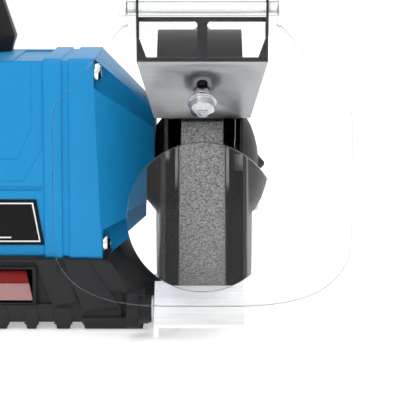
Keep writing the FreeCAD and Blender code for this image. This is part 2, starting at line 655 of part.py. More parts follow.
def guard_tab():
    """Tab on the hood behind the bracket's plate, which the clamp bolt holds."""
    uy, uz = plate_direction()
    point, out = bracket_bolt_axis()
    gap = 0.3
    y0, z0 = HOOD_FRONT_Y - out.y * gap, PLATE_LOW_Z - out.z * gap
    tab = sheet_between(y0 - uy * 6, z0 - uz * 6, y0 + uy * 36.0, z0 + uz * 36.0, 12.0, 12.0, -2.0)
    tab = tab.fuse(box(WHEEL_X - 12, WHEEL_X + 12, HOOD_FRONT_Y + 0.5, HOOD_FRONT_Y + 8, PLATE_LOW_Z + 1, PLATE_LOW_Z + 3))
    return tab.cut(Part.makeCylinder(3.2, 40, point - out * 20, out))


def bracket_bolt():
    point, out = bracket_bolt_axis()
    start = point + out * (PLATE_T + 0.05)
    nut = Part.makeCylinder(4.7, 4.0, start, out)
    thread = Part.makeCylinder(3.6, 5.0, start + out * 3.5, out)
    washer = Part.makeCylinder(8.5, 1.4, start + out * 7.5, out)
    cap = Part.makeCylinder(7.0, 5.0, start + out * 8.9, out)
    dome = Part.makeCone(7.0, 3.5, 2.5, start + out * 13.9, out)
    tip = Part.makeCylinder(1.2, 1.2, start + out * 16.4, out)
    behind = start - out * (PLATE_T + 0.4 + 2.0)
    shank = Part.makeCylinder(2.9, 9, behind, out)
    back = Part.makeCylinder(5.5, 3.5, behind - out * 3.5, out)
    return fuse([nut, thread, washer, cap, dome, tip, shank, back])


def shield_rod():
    """Hinge rod with a hexagon head on one end and a nut on the other."""
    x0, x1 = WHEEL_X - 46.5, WHEEL_X + 50.0
    rod = cyl_x(x0, x1, ROD_R, ROD_Y, ROD_Z)
    head = hexagon_x(x0, x0 + 4.0, 10.0, ROD_Y, ROD_Z)
    nut = hexagon_x(WHEEL_X + FRAME_HALF_TOP + 5.5, WHEEL_X + FRAME_HALF_TOP + 11.0, 10.0, ROD_Y, ROD_Z)
    return fuse([rod, head, nut])


def shield_outline():
    """Half-width of the pane against height, from the rod down, with rounded lower corners."""
    hw, top = SHIELD_HALF_W, ROD_Z - 10.0
    points = [(-SHIELD_TOP_HALF_W, top), (SHIELD_TOP_HALF_W, top), (hw - 4, top - 42.0), (hw, top - 48.0),
              (hw + 0.5, SHIELD_BOTTOM_Z + 40.0)]
    corner = 10
    for i in range(1, corner + 1):
        a = math.radians(90.0 * i / corner)
        points.append(((hw + 0.5) * math.cos(a) ** 0.55 if i < corner else 0.0,
                       SHIELD_BOTTOM_Z + 40.0 - 40.0 * math.sin(a)))
    left = [(-x, z) for x, z in reversed(points[2:-1])]
    return [(WHEEL_X + x, z) for x, z in points + left]


def eye_shield():
    """Clear pane with the magnifier moulded in, rolled round the hinge rod at its top."""
    pane = prism_y(shield_outline(), SHIELD_Y, SHIELD_Y + SHIELD_T)
    ball_r = (LENS_R ** 2 + LENS_SAG ** 2) / (2 * LENS_SAG)
    ball = Part.makeSphere(ball_r, V(WHEEL_X, SHIELD_Y - LENS_SAG + ball_r, LENS_Z))
    lens = ball.common(box(0, 300, SHIELD_Y - 20, SHIELD_Y + 1, 0, 300))
    width = SHIELD_TOP_HALF_W - 2.0
    knuckles = []
    for x0, x1 in ((-width - 0.0, -FRAME_HALF_BEND - 0.3), (-FRAME_HALF_BEND + 2.3, FRAME_HALF_BEND - 2.3),
                   (FRAME_HALF_BEND + 0.3, width)):
        roll = tube_x(WHEEL_X + x0, WHEEL_X + x1, ROLL_R, ROD_R + 0.3, ROD_Y, ROD_Z)
        web = box(WHEEL_X + x0, WHEEL_X + x1, SHIELD_Y, SHIELD_Y + SHIELD_T, ROD_Z - 11.0, ROD_Z + 1.0)
        bridge = box(WHEEL_X + x0, WHEEL_X + x1, SHIELD_Y, ROD_Y, ROD_Z - 1.5, ROD_Z + 1.0)
        bridge = bridge.cut(cyl_x(WHEEL_X + x0 - 1, WHEEL_X + x1 + 1, ROD_R + 0.3, ROD_Y, ROD_Z))
        knuckles += [roll, web, bridge]
    return fuse([pane, lens] + knuckles)


# ---- work lamp ----------------------------------------------------------------------
LAMP_BASE_TOP = HOUSING_TOP + 36.0
NECK_R = 6.0


def lamp_ring(z, half_x, half_y):
    """Outline of the lamp's base at a height, with cut corners."""
    c = half_x * 0.35
    points = [(-half_x + c, -half_y), (half_x - c, -half_y), (half_x, -half_y + c), (half_x, half_y - c),
              (half_x - c, half_y), (-half_x + c, half_y), (-half_x, half_y - c), (-half_x, -half_y + c)]
    return Part.makePolygon([V(x, LAMP_Y + y, z) for x, y in points + [points[0]]])


def lamp_base():
    seat = HOUSING_TOP - RIB_RISE
    foot = Part.makeLoft([lamp_ring(seat, 18.0, 14.0), lamp_ring(seat + 11.0, 21.2, 15.5)], True, True)
    cone = Part.makeLoft([lamp_ring(seat + 11.0, 21.2, 15.5), lamp_ring(LAMP_BASE_TOP, 12.5, 11.0)], True, True)
    return foot.fuse(cone).cut(cyl_z(0, LAMP_Y, LAMP_BASE_TOP - 12.0, LAMP_BASE_TOP + 1, NECK_R)).removeSplitter()


def lamp_neck():
    """Gooseneck: up from the base and over to the front in one bend, then down to the head."""
    top = LAMP_TOP_Z - 35.0
    bend_r = (LAMP_Y - LAMP_HEAD_Y) / 2
    start = V(0, LAMP_Y, LAMP_BASE_TOP - 12.0)
    up = Part.LineSegment(start, V(0, LAMP_Y, top)).toShape()
    over = Part.Arc(V(0, LAMP_Y, top), V(0, LAMP_Y - bend_r, top + bend_r), V(0, LAMP_HEAD_Y, top)).toShape()
    path = Part.Wire([up, over])
    ring = Part.Wire([Part.Circle(start, V(0, 0, 1), NECK_R).toShape()])
    return path.makePipeShell([ring], True, True)


HEAD_TOP_Z = LAMP_TOP_Z - 35.0


def lamp_head():
    y, top = LAMP_HEAD_Y, HEAD_TOP_Z
    outer = fuse([cyl_z(0, y, top - 18.0, top, 11.0),
                  Part.makeCone(27.0, 11.0, 26.0, V(0, y, top - 44.0), V(0, 0, 1)),
                  cyl_z(0, y, top - 52.0, top - 44.0, 27.0)])
    inner = fuse([Part.makeCone(25.0, 9.0, 26.0, V(0, y, top - 45.0), V(0, 0, 1)),
                  cyl_z(0, y, top - 53.0, top - 44.0, 25.0)])
    return outer.cut(inner).removeSplitter()


def lamp_lens():
    return cyl_z(0, LAMP_HEAD_Y, HEAD_TOP_Z - 50.5, HEAD_TOP_Z - 48.5, 24.9)


def lamp_led_board():
    board = cyl_z(0, LAMP_HEAD_Y, HEAD_TOP_Z - 35.0, HEAD_TOP_Z - 33.4, 16.0)
    chips = [box(x - 1.5, x + 1.5, LAMP_HEAD_Y + y - 1.5, LAMP_HEAD_Y + y + 1.5, HEAD_TOP_Z - 36.0, HEAD_TOP_Z - 35.0)
             for x, y in [(0, 0)] + [(9 * math.cos(math.radians(a)), 9 * math.sin(math.radians(a)))
                                     for a in range(0, 360, 60)]]
    return fuse([board] + chips)


# ---- build --------------------------------------------------------------------------
def write(node, shape):
    if not shape.isValid():
        print("invalid", node)
    shape.exportStep(os.path.join("parts", node + ".step"))
    b = shape.BoundBox
    print("%-24s %2d solids  %8.0f mm3  x %.1f..%.1f y %.1f..%.1f z %.1f..%.1f" % (
        node, len(shape.Solids), shape.Volume, b.XMin, b.XMax, b.YMin, b.YMax, b.ZMin, b.ZMax))


def both(name, shape):
    write("right_" + name, shape)
    write("left_" + name, mirrored(shape))


os.makedirs("parts", exist_ok=True)
write("housing_shell", housing_shell())
both("end_cover", end_cover())
write("cover_screws", cover_screws())
write("name_plate", name_plate())
write("base_shell", base_shell())
write("base_plate", base_plate())
write("rubber_feet", rubber_feet())
write("switch_bezel", switch_bezel())
write("switch_body", switch_body())
write("switch_rocker", switch_rocker())
write("capacitor", capacitor())
write("terminal_block", terminal_block())
write("cable_gland", cable_gland())
write("shaft", shaft())
write("rotor_core", rotor_core())
write("rotor_cage", rotor_cage())
write("cooling_fan", cooling_fan())
write("stator_core", stator_core())
write("stator_windings", stator_windings())
write("stator_saddles", stator_saddles())
both("bearing_bracket", bearing_bracket())
write("bearing_outer_rings", pair(bearing_outer()))
write("bearing_inner_rings", pair(bearing_inner()))
write("bearing_balls", bearing_balls())
both("grinding_wheel", grinding_wheel())
both("wheel_flanges", wheel_flanges())
both("spindle_nut", spindle_nut())
both("guard_shell", guard_shell())
both("guard_cover", guard_cover())
write("guard_screws", pair(guard_screws()))
both("rest_arm", rest_arm())
both("tool_rest", tool_rest())
both("rest_bolt", rest_bolt())
both("rest_knob", rest_knob())
both("shield_bracket", shield_bracket())
both("bracket_bolt", bracket_bolt())
both("shield_rod", shield_rod())
both("eye_shield", eye_shield())
write("lamp_base", lamp_base())
write("lamp_neck", lamp_neck())
write("lamp_head", lamp_head())
write("lamp_lens", lamp_lens())
write("lamp_led_board", lamp_led_board())
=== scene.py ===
"""Looks for the bench grinder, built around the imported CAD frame.

Lengths in the piece functions are millimetres in the CAD frame (X along the spindle, Y to the back,
Z up) and are scaled to metres when a mesh is made.
"""

import json
import math

import bmesh
import bpy
from mathutils import Matrix, Vector


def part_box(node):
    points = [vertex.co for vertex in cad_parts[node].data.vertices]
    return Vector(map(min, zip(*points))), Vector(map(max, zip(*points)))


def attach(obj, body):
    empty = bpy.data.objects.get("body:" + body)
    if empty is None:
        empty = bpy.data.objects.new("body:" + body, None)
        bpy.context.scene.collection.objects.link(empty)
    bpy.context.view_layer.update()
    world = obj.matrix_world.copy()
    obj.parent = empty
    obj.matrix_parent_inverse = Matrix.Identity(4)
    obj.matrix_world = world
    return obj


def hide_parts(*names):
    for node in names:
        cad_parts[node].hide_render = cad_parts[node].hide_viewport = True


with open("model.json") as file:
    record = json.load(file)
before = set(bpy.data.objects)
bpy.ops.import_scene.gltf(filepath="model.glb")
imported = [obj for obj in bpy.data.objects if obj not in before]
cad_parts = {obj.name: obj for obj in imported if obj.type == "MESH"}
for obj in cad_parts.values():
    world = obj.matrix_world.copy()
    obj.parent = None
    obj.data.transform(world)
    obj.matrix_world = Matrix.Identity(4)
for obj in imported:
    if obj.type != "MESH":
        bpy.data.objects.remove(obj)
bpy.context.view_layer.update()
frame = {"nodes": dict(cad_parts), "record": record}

MM = 0.001
SIDES = (("right", 1), ("left", -1))


def node_mm(node):
    """A node's box in millimetres, as two corners."""
    low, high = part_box(node)
    return [c / MM for c in low], [c / MM for c in high]


# ---- places taken from the frame --------------------------------------------------------
wheel_low, wheel_high = node_mm("right_grinding_wheel")
WHEEL_X = (wheel_low[0] + wheel_high[0]) / 2
WHEEL_R = (wheel_high[2] - wheel_low[2]) / 2
AXIS_Z = (wheel_high[2] + wheel_low[2]) / 2
shell_low, shell_high = node_mm("housing_shell")
HOUSING_RAISE, HOUSING_DROP = 1.2, 1.8
HOUSING_TOP, HOUSING_BOTTOM = shell_high[2] + HOUSING_RAISE, shell_low[2] - HOUSING_DROP
HOUSING_FRONT = -shell_low[1]
SHELL_END_X = shell_high[0]
COVER_END_X = node_mm("right_end_cover")[1][0]


# ---- camera, floor and light ------------------------------------------------------------
VIEW_DISTANCE = 1200.0
VIEW_ELEVATION = 8.0
PICTURE_WIDTH_AT_AXIS = 250.0
AIM_BELOW_AXIS = 23.0
AIM_LEFT_OF_WHEEL = 1.3


def make_camera():
    lift = math.radians(VIEW_ELEVATION)
    up = Vector((0, math.sin(lift), math.cos(lift)))
    back = Vector((0, -math.cos(lift), math.sin(lift)))
    aim = Vector((WHEEL_X - AIM_LEFT_OF_WHEEL, 0, AXIS_Z)) - up * AIM_BELOW_AXIS
    data = bpy.data.cameras.new("camera")
    data.sensor_width = 36.0
    data.lens = data.sensor_width * VIEW_DISTANCE / PICTURE_WIDTH_AT_AXIS
    data.clip_end = 20.0
    camera = bpy.data.objects.new("camera", data)
    camera.location = (aim + back * VIEW_DISTANCE) * MM
    camera.rotation_euler = (math.radians(90.0 - VIEW_ELEVATION), 0, 0)
    bpy.context.collection.objects.link(camera)
    bpy.context.scene.camera = camera


def area_light(name, place, target, size, power):
    data = bpy.data.lights.new(name, "AREA")
    data.size = size
    data.energy = power
    lamp = bpy.data.objects.new(name, data)
    lamp.location = place
    aim = Vector(target) - Vector(place)
    lamp.rotation_euler = aim.to_track_quat("-Z", "Y").to_euler()
    bpy.context.collection.objects.link(lamp)


def make_studio():
    world = bpy.data.worlds.new("studio")
    world.use_nodes = True
    background = world.node_tree.nodes["Background"]
    background.inputs["Color"].default_value = (1.0, 1.0, 1.0, 1.0)
    background.inputs["Strength"].default_value = 1.0
    bpy.context.scene.world = world
    area_light("key", (-0.6, -1.2, 1.3), (0.05, 0, 0.1), 0.9, 4.0)
    area_light("fill", (1.2, -1.0, 0.5), (0.14, 0, 0.1), 0.8, 1.5)
    area_light("top", (0.1, 0.1, 1.3), (0.1, 0, 0.1), 1.0, 2.5)
    bpy.context.scene.view_settings.view_transform = "Standard"

    mesh = bpy.data.meshes.new("floor")
    half = 3.0
    corners = [(-half, -half, 0), (half, -half, 0), (half, half, 0), (-half, half, 0)]
    mesh.from_pydata(corners, [], [(0, 1, 2, 3)])
    floor = bpy.data.objects.new("floor", mesh)
    bpy.context.collection.objects.link(floor)
    floor.data.materials.append(floor_material())


# ---- material helpers -------------------------------------------------------------------
class Shader:
    """A material with a Principled shader and short ways to add nodes."""

    def __init__(self, name, color, roughness=0.5, metallic=0.0):
        self.material = bpy.data.materials.new(name)
        self.material.use_nodes = True
        self.tree = self.material.node_tree
        self.main = self.tree.nodes["Principled BSDF"]
        self.set("Base Color", (*color, 1.0))
        self.set("Roughness", roughness)
        self.set("Metallic", metallic)
        self.color = color
        self.place = self.tree.nodes.new("ShaderNodeTexCoord").outputs["Object"]
        self.normal = None

    def set(self, socket, value):
        self.main.inputs[socket].default_value = value

    def node(self, kind, **inputs):
        made = self.tree.nodes.new(kind)
        for key, value in inputs.items():
            socket = made.inputs[key.replace("_", " ")]
            if isinstance(value, bpy.types.NodeSocket):
                self.tree.links.new(value, socket)
            else:
                socket.default_value = value
        return made

    def link(self, output, socket):
        self.tree.links.new(output, self.main.inputs[socket])

    def noise(self, scale, detail=3.0, stretch=None):
        place = self.place
        if stretch:
            mapping = self.node("ShaderNodeMapping", Vector=place)
            mapping.inputs["Scale"].default_value = stretch
            place = mapping.outputs["Vector"]
        made = self.node("ShaderNodeTexNoise", Vector=place, Scale=scale, Detail=detail)
        return made.outputs["Fac"]

    def grains(self, scale):
        return self.node("ShaderNodeTexVoronoi", Vector=self.place, Scale=scale)

    def ramp(self, factor, stops):
        made = self.node("ShaderNodeValToRGB", Fac=factor)
        elements = made.color_ramp.elements
        while len(elements) < len(stops):
            elements.new(0.5)
        for element, (where, color) in zip(elements, stops):
            element.position = where
            element.color = (*color, 1.0)
        return made.outputs["Color"]

    def spread(self, factor, low, high):
        made = self.node("ShaderNodeMapRange", Value=factor)
        made.inputs["To Min"].default_value = low
        made.inputs["To Max"].default_value = high
        return made.outputs["Result"]

    def tint(self, factor, darker, lighter):
        """Base colour that drifts between two brightnesses of itself."""
        stops = [(0.3, tuple(c * darker for c in self.color)),
                 (0.7, tuple(min(1.0, c * lighter) for c in self.color))]
        self.link(self.ramp(factor, stops), "Base Color")

    def rough(self, factor, low, high):
        self.link(self.spread(factor, low, high), "Roughness")

    def bump(self, height, strength, distance):
        made = self.node("ShaderNodeBump", Height=height, Strength=strength, Distance=distance)
        if self.normal is not None:
            self.tree.links.new(self.normal, made.inputs["Normal"])
        self.normal = made.outputs["Normal"]
        self.link(self.normal, "Normal")


def floor_material():
    shader = Shader("floor", (1.0, 1.0, 1.0), 0.9)
    shader.set("Emission Color", (1.0, 1.0, 1.0, 1.0))
    shader.set("Emission Strength", 0.35)
    return shader.material


def plastic(name, color, rough_low, rough_high, grain, bump_strength, coat=0.0):
    shader = Shader(name, color, rough_low)
    shader.tint(shader.noise(14.0, 2.0), 0.96, 1.05)
    shader.rough(shader.noise(60.0, 4.0), rough_low, rough_high)
    shader.bump(shader.noise(grain, 2.0), bump_strength, 0.0002)
    shader.set("Specular IOR Level", 0.15)
    shader.set("Coat Weight", coat)
    return shader.material


def brushed(name, color, direction, roughness=(0.22, 0.42), bump_strength=0.12, metallic=1.0):
    shader = Shader(name, color, roughness[0], metallic)
    streaks = shader.noise(90.0, 4.0, stretch=direction)
    shader.tint(streaks, 0.90, 1.06)
    shader.rough(shader.noise(40.0, 5.0, stretch=direction), *roughness)
    shader.bump(streaks, bump_strength, 0.0001)
    return shader.material


def anisotropic(name, color, roughness):
    """Sheet brushed from side to side, so that reflections run up and down it."""
    shader = Shader(name, color, roughness, 1.0)
    shader.tint(shader.noise(90.0, 4.0, stretch=(0.35, 6.0, 6.0)), 0.94, 1.04)
    shader.rough(shader.noise(60.0, 3.0), roughness * 0.9, roughness * 1.1)
    shader.set("Anisotropic", 0.85)
    return shader.material


def polished(name, color, roughness):
    shader = Shader(name, color, roughness, 1.0)
    shader.rough(shader.noise(120.0, 4.0), roughness * 0.7, roughness * 1.6)
    shader.tint(shader.noise(30.0, 3.0), 0.93, 1.03)
    return shader.material


def powder_coat(name, color):
    shader = Shader(name, color, 0.42)
    shader.tint(shader.noise(25.0, 3.0), 0.85, 1.2)
    shader.rough(shader.noise(90.0, 3.0), 0.36, 0.52)
    shader.set("Specular IOR Level", 0.2)
    shader.bump(shader.noise(900.0, 2.0), 0.02, 0.0001)
    return shader.material


def abrasive():
    """Bonded grit: single grains of light, grey and black, with open pores."""
    shader = Shader("abrasive", (0.24, 0.24, 0.24), 0.95)
    grains = shader.grains(1700.0)
    tone = shader.node("ShaderNodeSeparateColor", Color=grains.outputs["Color"]).outputs["Red"]
    greys = ((0.0, 0.06), (0.2, 0.13), (0.5, 0.20), (0.8, 0.26), (1.0, 0.34))
    shader.link(shader.ramp(tone, [(where, (grey,) * 3) for where, grey in greys]), "Base Color")
    shader.bump(grains.outputs["Distance"], 0.35, 0.0004)
    shader.bump(shader.noise(500.0, 4.0), 0.2, 0.0004)
    shader.set("Specular IOR Level", 0.25)
    return shader.material


def clear_plastic(name, ior):
    """Clear sheet.  Light passes straight through it on the way to what is behind."""
    shader = Shader(name, (0.985, 0.99, 0.995), 0.0)
    shader.set("Transmission Weight", 1.0)
    shader.set("IOR", ior)
    shader.set("Specular IOR Level", 0.0)
    tree = shader.tree
    path = tree.nodes.new("ShaderNodeLightPath")
    clear = tree.nodes.new("ShaderNodeBsdfTransparent")
    clear.inputs["Color"].default_value = (0.97, 0.98, 0.99, 1.0)
    mix = tree.nodes.new("ShaderNodeMixShader")
    tree.links.new(path.outputs["Is Shadow Ray"], mix.inputs[0])
    tree.links.new(shader.main.outputs[0], mix.inputs[1])
    tree.links.new(clear.outputs[0], mix.inputs[2])
    tree.links.new(mix.outputs[0], tree.nodes["Material Output"].inputs["Surface"])
    return shader.material


def frosted_edge_and_roll_shade():
    """The cut edge of the clear sheet, which scatters light and reads as a grey line; on the roll's
    upper and lower sides the same grey is painted shade for the roll's dark edge bands.
    """
    shader = Shader("pane_edge_and_roll_shade", (0.42, 0.44, 0.46), 0.2)
    shader.tint(shader.noise(80.0, 3.0), 0.9, 1.1)
    shader.set("Transmission Weight", 0.88)
    shader.set("IOR", 1.03)
    return shader.material


def windings():
    shader = Shader("copper", (0.62, 0.25, 0.09), 0.3, 1.0)
    waves = shader.node("ShaderNodeTexWave", Vector=shader.place, Scale=320.0, Distortion=3.0)
    shader.tint(waves.outputs["Fac"], 0.6, 1.2)
    shader.bump(waves.outputs["Fac"], 0.6, 0.0004)
    return shader.material


def laminations():
    shader = Shader("laminations", (0.22, 0.22, 0.24), 0.45, 0.9)
    waves = shader.node("ShaderNodeTexWave", Vector=shader.place, Scale=300.0)
    shader.tint(waves.outputs["Fac"], 0.6, 1.3)
    shader.bump(waves.outputs["Fac"], 0.5, 0.0003)
    return shader.material


make_camera()
MATERIALS = {
    "blue": plastic("blue_housing", (0.010, 0.245, 0.535), 0.34, 0.46, 1400.0, 0.10, coat=0.04),
    "black": plastic("black_plastic", (0.018, 0.018, 0.019), 0.42, 0.58, 1100.0, 0.12),
    "base": plastic("base_plastic", (0.026, 0.026, 0.027), 0.50, 0.62, 1100.0, 0.18),
    "pale_pink": plastic("pale_pink_plastic", (0.36, 0.19, 0.185), 0.22, 0.32, 900.0, 0.03, coat=0.3),
    "plate": plastic("black_plate", (0.004, 0.004, 0.004), 0.45, 0.55, 900.0, 0.03),
    "border": plastic("plate_border", (0.80, 0.80, 0.80), 0.35, 0.45, 900.0, 0.03),
    "red": plastic("red_rocker", (0.20, 0.010, 0.010), 0.25, 0.35, 900.0, 0.04),
    "rubber": plastic("rubber", (0.022, 0.022, 0.022), 0.75, 0.9, 700.0, 0.3),
    "fan": plastic("fan_plastic", (0.05, 0.05, 0.05), 0.5, 0.6, 900.0, 0.1),
    "can": plastic("capacitor_can", (0.62, 0.62, 0.58), 0.4, 0.5, 900.0, 0.05),
    "sheet": brushed("sheet_steel", (0.42, 0.43, 0.435), (0.35, 6.0, 6.0), (0.16, 0.24), 0.03),
    "table": brushed("table_steel", (0.93, 0.93, 0.93), (0.4, 5.0, 5.0), (0.40, 0.55), 0.05, 0.35),
    "steel": brushed("machined_steel", (0.55, 0.55, 0.57), (8.0, 0.6, 0.6), (0.25, 0.4)),
    "chrome": polished("chrome", (0.82, 0.82, 0.84), 0.12),
    "alloy": polished("cast_aluminium", (0.62, 0.62, 0.64), 0.45),
    "guard": powder_coat("guard_paint", (0.012, 0.012, 0.0125)),
    "grit": abrasive(),
    "pane": clear_plastic("clear_pane", 1.01),
    "pane_edge_and_roll_shade": frosted_edge_and_roll_shade(),
    "lens": clear_plastic("lens_plastic", 1.25),
    "bolt": polished("bolt_zinc", (0.50, 0.50, 0.51), 0.22),
    "rod": brushed("rod_steel", (0.96, 0.96, 0.96), (0.4, 5.0, 5.0), (0.35, 0.5), 0.02, 0.3),
    "clamp": anisotropic("clamp_steel", (0.40, 0.405, 0.41), 0.32),
    # painted shade: dark steel for the bracket's upright frame, which is the same sheet as the bright
    # clamp plate
    "frame": brushed("frame_steel_painted_shade", (0.045, 0.045, 0.047), (0.35, 6.0, 6.0), (0.35, 0.5)),
    "copper": windings(),
    "stack": laminations(),
}
make_studio()


# ---- mesh helpers -----------------------------------------------------------------------
def circle(a, b, radius, segments):
    """Points of a circle round (a, b)."""
    turns = [2 * math.pi * i / segments for i in range(segments)]
    return [(a + radius * math.cos(turn), b + radius * math.sin(turn)) for turn in turns]


def new_object(name, vertices, faces):
    mesh = bpy.data.meshes.new(name)
    mesh.from_pydata([tuple(c * MM for c in v) for v in vertices], [], faces)
    made = bpy.data.objects.new(name, mesh)
    bpy.context.collection.objects.link(made)
    clean(mesh)
    return made


def clean(mesh, merge=1e-6, degenerate=0.0):
    """Merge points that coincide and make all faces look outwards."""
    bm = bmesh.new()
    bm.from_mesh(mesh)
    bmesh.ops.remove_doubles(bm, verts=bm.verts, dist=merge)
    if degenerate:
        bmesh.ops.dissolve_degenerate(bm, edges=bm.edges, dist=degenerate)
    bmesh.ops.recalc_face_normals(bm, faces=bm.faces)
    bm.to_mesh(mesh)
    bm.free()


def loft(name, rings):
    """Closed solid through rings that have equal numbers of points."""
    count = len(rings[0])
    vertices = [point for ring in rings for point in ring]
    faces = []
    for r in range(len(rings) - 1):
        for i in range(count):
            j = (i + 1) % count
            faces.append((r * count + i, r * count + j, (r + 1) * count + j, (r + 1) * count + i))
    faces.append(tuple(range(count)))
    faces.append(tuple(range((len(rings) - 1) * count, len(rings) * count)))
    return new_object(name, vertices, faces)


def prism_x(name, points_yz, x0, x1):
    return loft(name, [[(x, y, z) for y, z in points_yz] for x in (x0, x1)])


def prism_y(name, points_xz, y0, y1):
    return loft(name, [[(x, y, z) for x, z in points_xz] for y in (y0, y1)])


def block(name, x0, x1, y0, y1, z0, z1):
    return prism_x(name, [(y0, z0), (y1, z0), (y1, z1), (y0, z1)], x0, x1)


def cylinder_x(name, x0, x1, radius, y, z, segments=48):
    return prism_x(name, circle(y, z, radius, segments), x0, x1)


def cylinder_y(name, x, z, radius, y0, y1, segments=96):
    return prism_y(name, circle(x, z, radius, segments), y0, y1)


def revolved(name, rings, closed, merge=1e-6):
    """Skin over one ring of points per angle.  A closed outline joins its last point to its first."""
    count = len(rings[0])
    vertices = [point for ring in rings for point in ring]
    faces = []
    for s in range(len(rings)):
        t = (s + 1) % len(rings)
        for i in range(count if closed else count - 1):
            j = (i + 1) % count
            faces.append((s * count + i, s * count + j, t * count + j, t * count + i))
    made = new_object(name, vertices, faces)
    clean(made.data, merge, 1e-7)
    return made


def lathe_x(name, profile, y, z, segments=96):
    """Solid of revolution about the X direction from a closed (x, radius) outline."""
    rings = []
    for i in range(segments):
        a = 2 * math.pi * i / segments
        rings.append([(x, y + r * math.cos(a), z + r * math.sin(a)) for x, r in profile])
    return revolved(name, rings, True)


def apply_modifiers(piece):
    """Turn the piece's modifiers into its mesh."""
    graph = bpy.context.evaluated_depsgraph_get()
    graph.update()
    mesh = bpy.data.meshes.new_from_object(piece.evaluated_get(graph))
    piece.modifiers.clear()
    piece.data = mesh


def combine(piece, tools, operation):
    """Boolean with each tool in turn; the tools are used up."""
    for tool in tools:
        modifier = piece.modifiers.new("combine", "BOOLEAN")
        modifier.operation = operation
        modifier.solver = "EXACT"
        modifier.object = tool
    apply_modifiers(piece)
    for tool in tools:
        bpy.data.objects.remove(tool, do_unlink=True)
    return piece


def cut(piece, *tools):
    return combine(piece, tools, "DIFFERENCE")


def join(piece, *tools):
    return combine(piece, tools, "UNION")


def flipped(piece, name):
    """The mirror image of a piece, across the middle of the machine."""
    mesh = piece.data.copy()
    mesh.transform(Matrix.Scale(-1, 4, (1, 0, 0)))
    mesh.flip_normals()
    made = bpy.data.objects.new(name, mesh)
    bpy.context.collection.objects.link(made)
    return made


def round_edges(piece, width, segments=3, angle=28.0):
    """Bevel every edge that turns by more than an angle, after merging flat faces."""
    bm = bmesh.new()
    bm.from_mesh(piece.data)
    bmesh.ops.remove_doubles(bm, verts=bm.verts, dist=2e-6)
    bmesh.ops.dissolve_limit(bm, angle_limit=math.radians(1.0), verts=bm.verts, edges=bm.edges)
    bm.to_mesh(piece.data)
    bm.free()
    bevel = piece.modifiers.new("edges", "BEVEL")
    bevel.width = width * MM
    bevel.segments = segments
    bevel.limit_method = "ANGLE"
    bevel.angle_limit = math.radians(angle)
    bevel.miter_outer = "MITER_ARC"
    bevel.harden_normals = False
    apply_modifiers(piece)


def shade(piece, angle=35.0):
    """Smooth shading that stays sharp where faces meet at more than an angle."""
    for polygon in piece.data.polygons:
        polygon.use_smooth = True
    piece.data.set_sharp_from_angle(angle=math.radians(angle))


def body_of_node(node):
    return next(body for body, nodes in frame["record"]["behaviour"]["bodies"].items() if node in nodes)


def place(piece, material, *nodes, angle=35.0):
    """Gives a piece its material, and sets it in the place of its CAD nodes."""
    piece.data.materials.clear()
    piece.data.materials.append(MATERIALS[material])
    shade(piece, angle)
    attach(piece, body_of_node(nodes[0]))
    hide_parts(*nodes)


def copy_of_node(node):
    """A copy of a CAD node's mesh."""
    made = bpy.data.objects.new(node + "_look", frame["nodes"][node].data.copy())
    made.data.name = node + "_look"
    bpy.context.collection.objects.link(made)
    return made


def from_node(node, width, segments=2):
    """A copy of a CAD node's mesh with its edges rounded."""
    made = copy_of_node(node)
    round_edges(made, width, segments)
    return made


# ---- housing ----------------------------------------------------------------------------
CHAMFER = 3.0
COVER_FULL_X = 75.5
CREASE_LEAN = 4.5


def cut_corners(half, low, top, corner):
    """Eight points of a rectangle with its corners cut off."""
    return [(-half + corner, low), (half - corner, low), (half, low + corner), (half, top - corner),
            (half - corner, top), (-half + corner, top), (-half, top - corner), (-half, low + corner)]


def octagon(inset):
    """Section of the housing in (y, z), shrunk by an inset."""
    return cut_corners(HOUSING_FRONT - inset, HOUSING_BOTTOM + inset, HOUSING_TOP - inset,
                       CHAMFER - inset * 0.4)


def panel(half_high, high, knee, half_low, low):
    """Outline in (x, z) of a panel whose lower corners are cut off."""
    return [(-half_high, high), (half_high, high), (half_high, knee),
            (half_low, low), (-half_low, low), (-half_high, knee)]


def ring_at(x, points):
    return [(x, y, z) for y, z in points]


RIB_IN, RIB_OUT = 45.5, 56.5
RIB_RISE = 1.4


def housing_middle():
    """Middle shell: a rib near each end, two stepped panels in front and a shallow top recess."""
    end_inset, gap = 1.2, 0.6
    stations = [(-SHELL_END_X, end_inset), (-RIB_OUT - gap, end_inset), (-RIB_OUT, 0.0),
                (-RIB_IN - 0.8, 0.0), (-RIB_IN, RIB_RISE)]
    stations += [(-x, inset) for x, inset in reversed(stations)]
    body = loft("housing_middle", [ring_at(x, octagon(inset)) for x, inset in stations])
    front = -(HOUSING_FRONT - RIB_RISE)
    top = HOUSING_TOP - RIB_RISE
    clip = RIB_IN - 0.2
    outer_panel = panel(clip, 170.0, 108.0, 33.5, 88.0)
    inner_panel = panel(39.0, 170.0, 121.0, 30.5, 101.0)
    tools = [prism_y("tool", outer_panel, front - 8, front + 0.7),
             prism_y("tool", inner_panel, front - 8, front + 1.4),
             block("tool", -44.0, 44.0, front - 5, front + 1.2, 82.6, 85.2),
             prism_x("tool", octagon(4.4), -SHELL_END_X - 1, SHELL_END_X + 1)]
    for sign in (-1, 1):
        x0, x1 = sorted((sign * 27.0, sign * clip))
        tools.append(block("tool", x0, x1, -46, 46, top - 0.9, top + 5))
    cut(body, *tools)
    round_edges(body, 0.9, 3)
    place(body, "blue", "housing_shell")


SCREW_SEAT_X = 76.0
SCREW_INSET = 9.4
SCREW_Y = HOUSING_FRONT - 9.6
SCREW_OUT, SCREW_UP, SCREW_DOWN = 3.0, 1.7, 1.2
SCREW_HEAD_SCALE = 1.25
SCREW_HEAD_OUT = 1.2
SCREW_LOW_Z = HOUSING_BOTTOM + HOUSING_DROP + SCREW_INSET
SCREW_HIGH_Z = HOUSING_TOP - HOUSING_RAISE - SCREW_INSET
END_TOP, END_LOW, END_DEPTH, END_CORNER = 36.0, 29.0, 36.0, 9.0


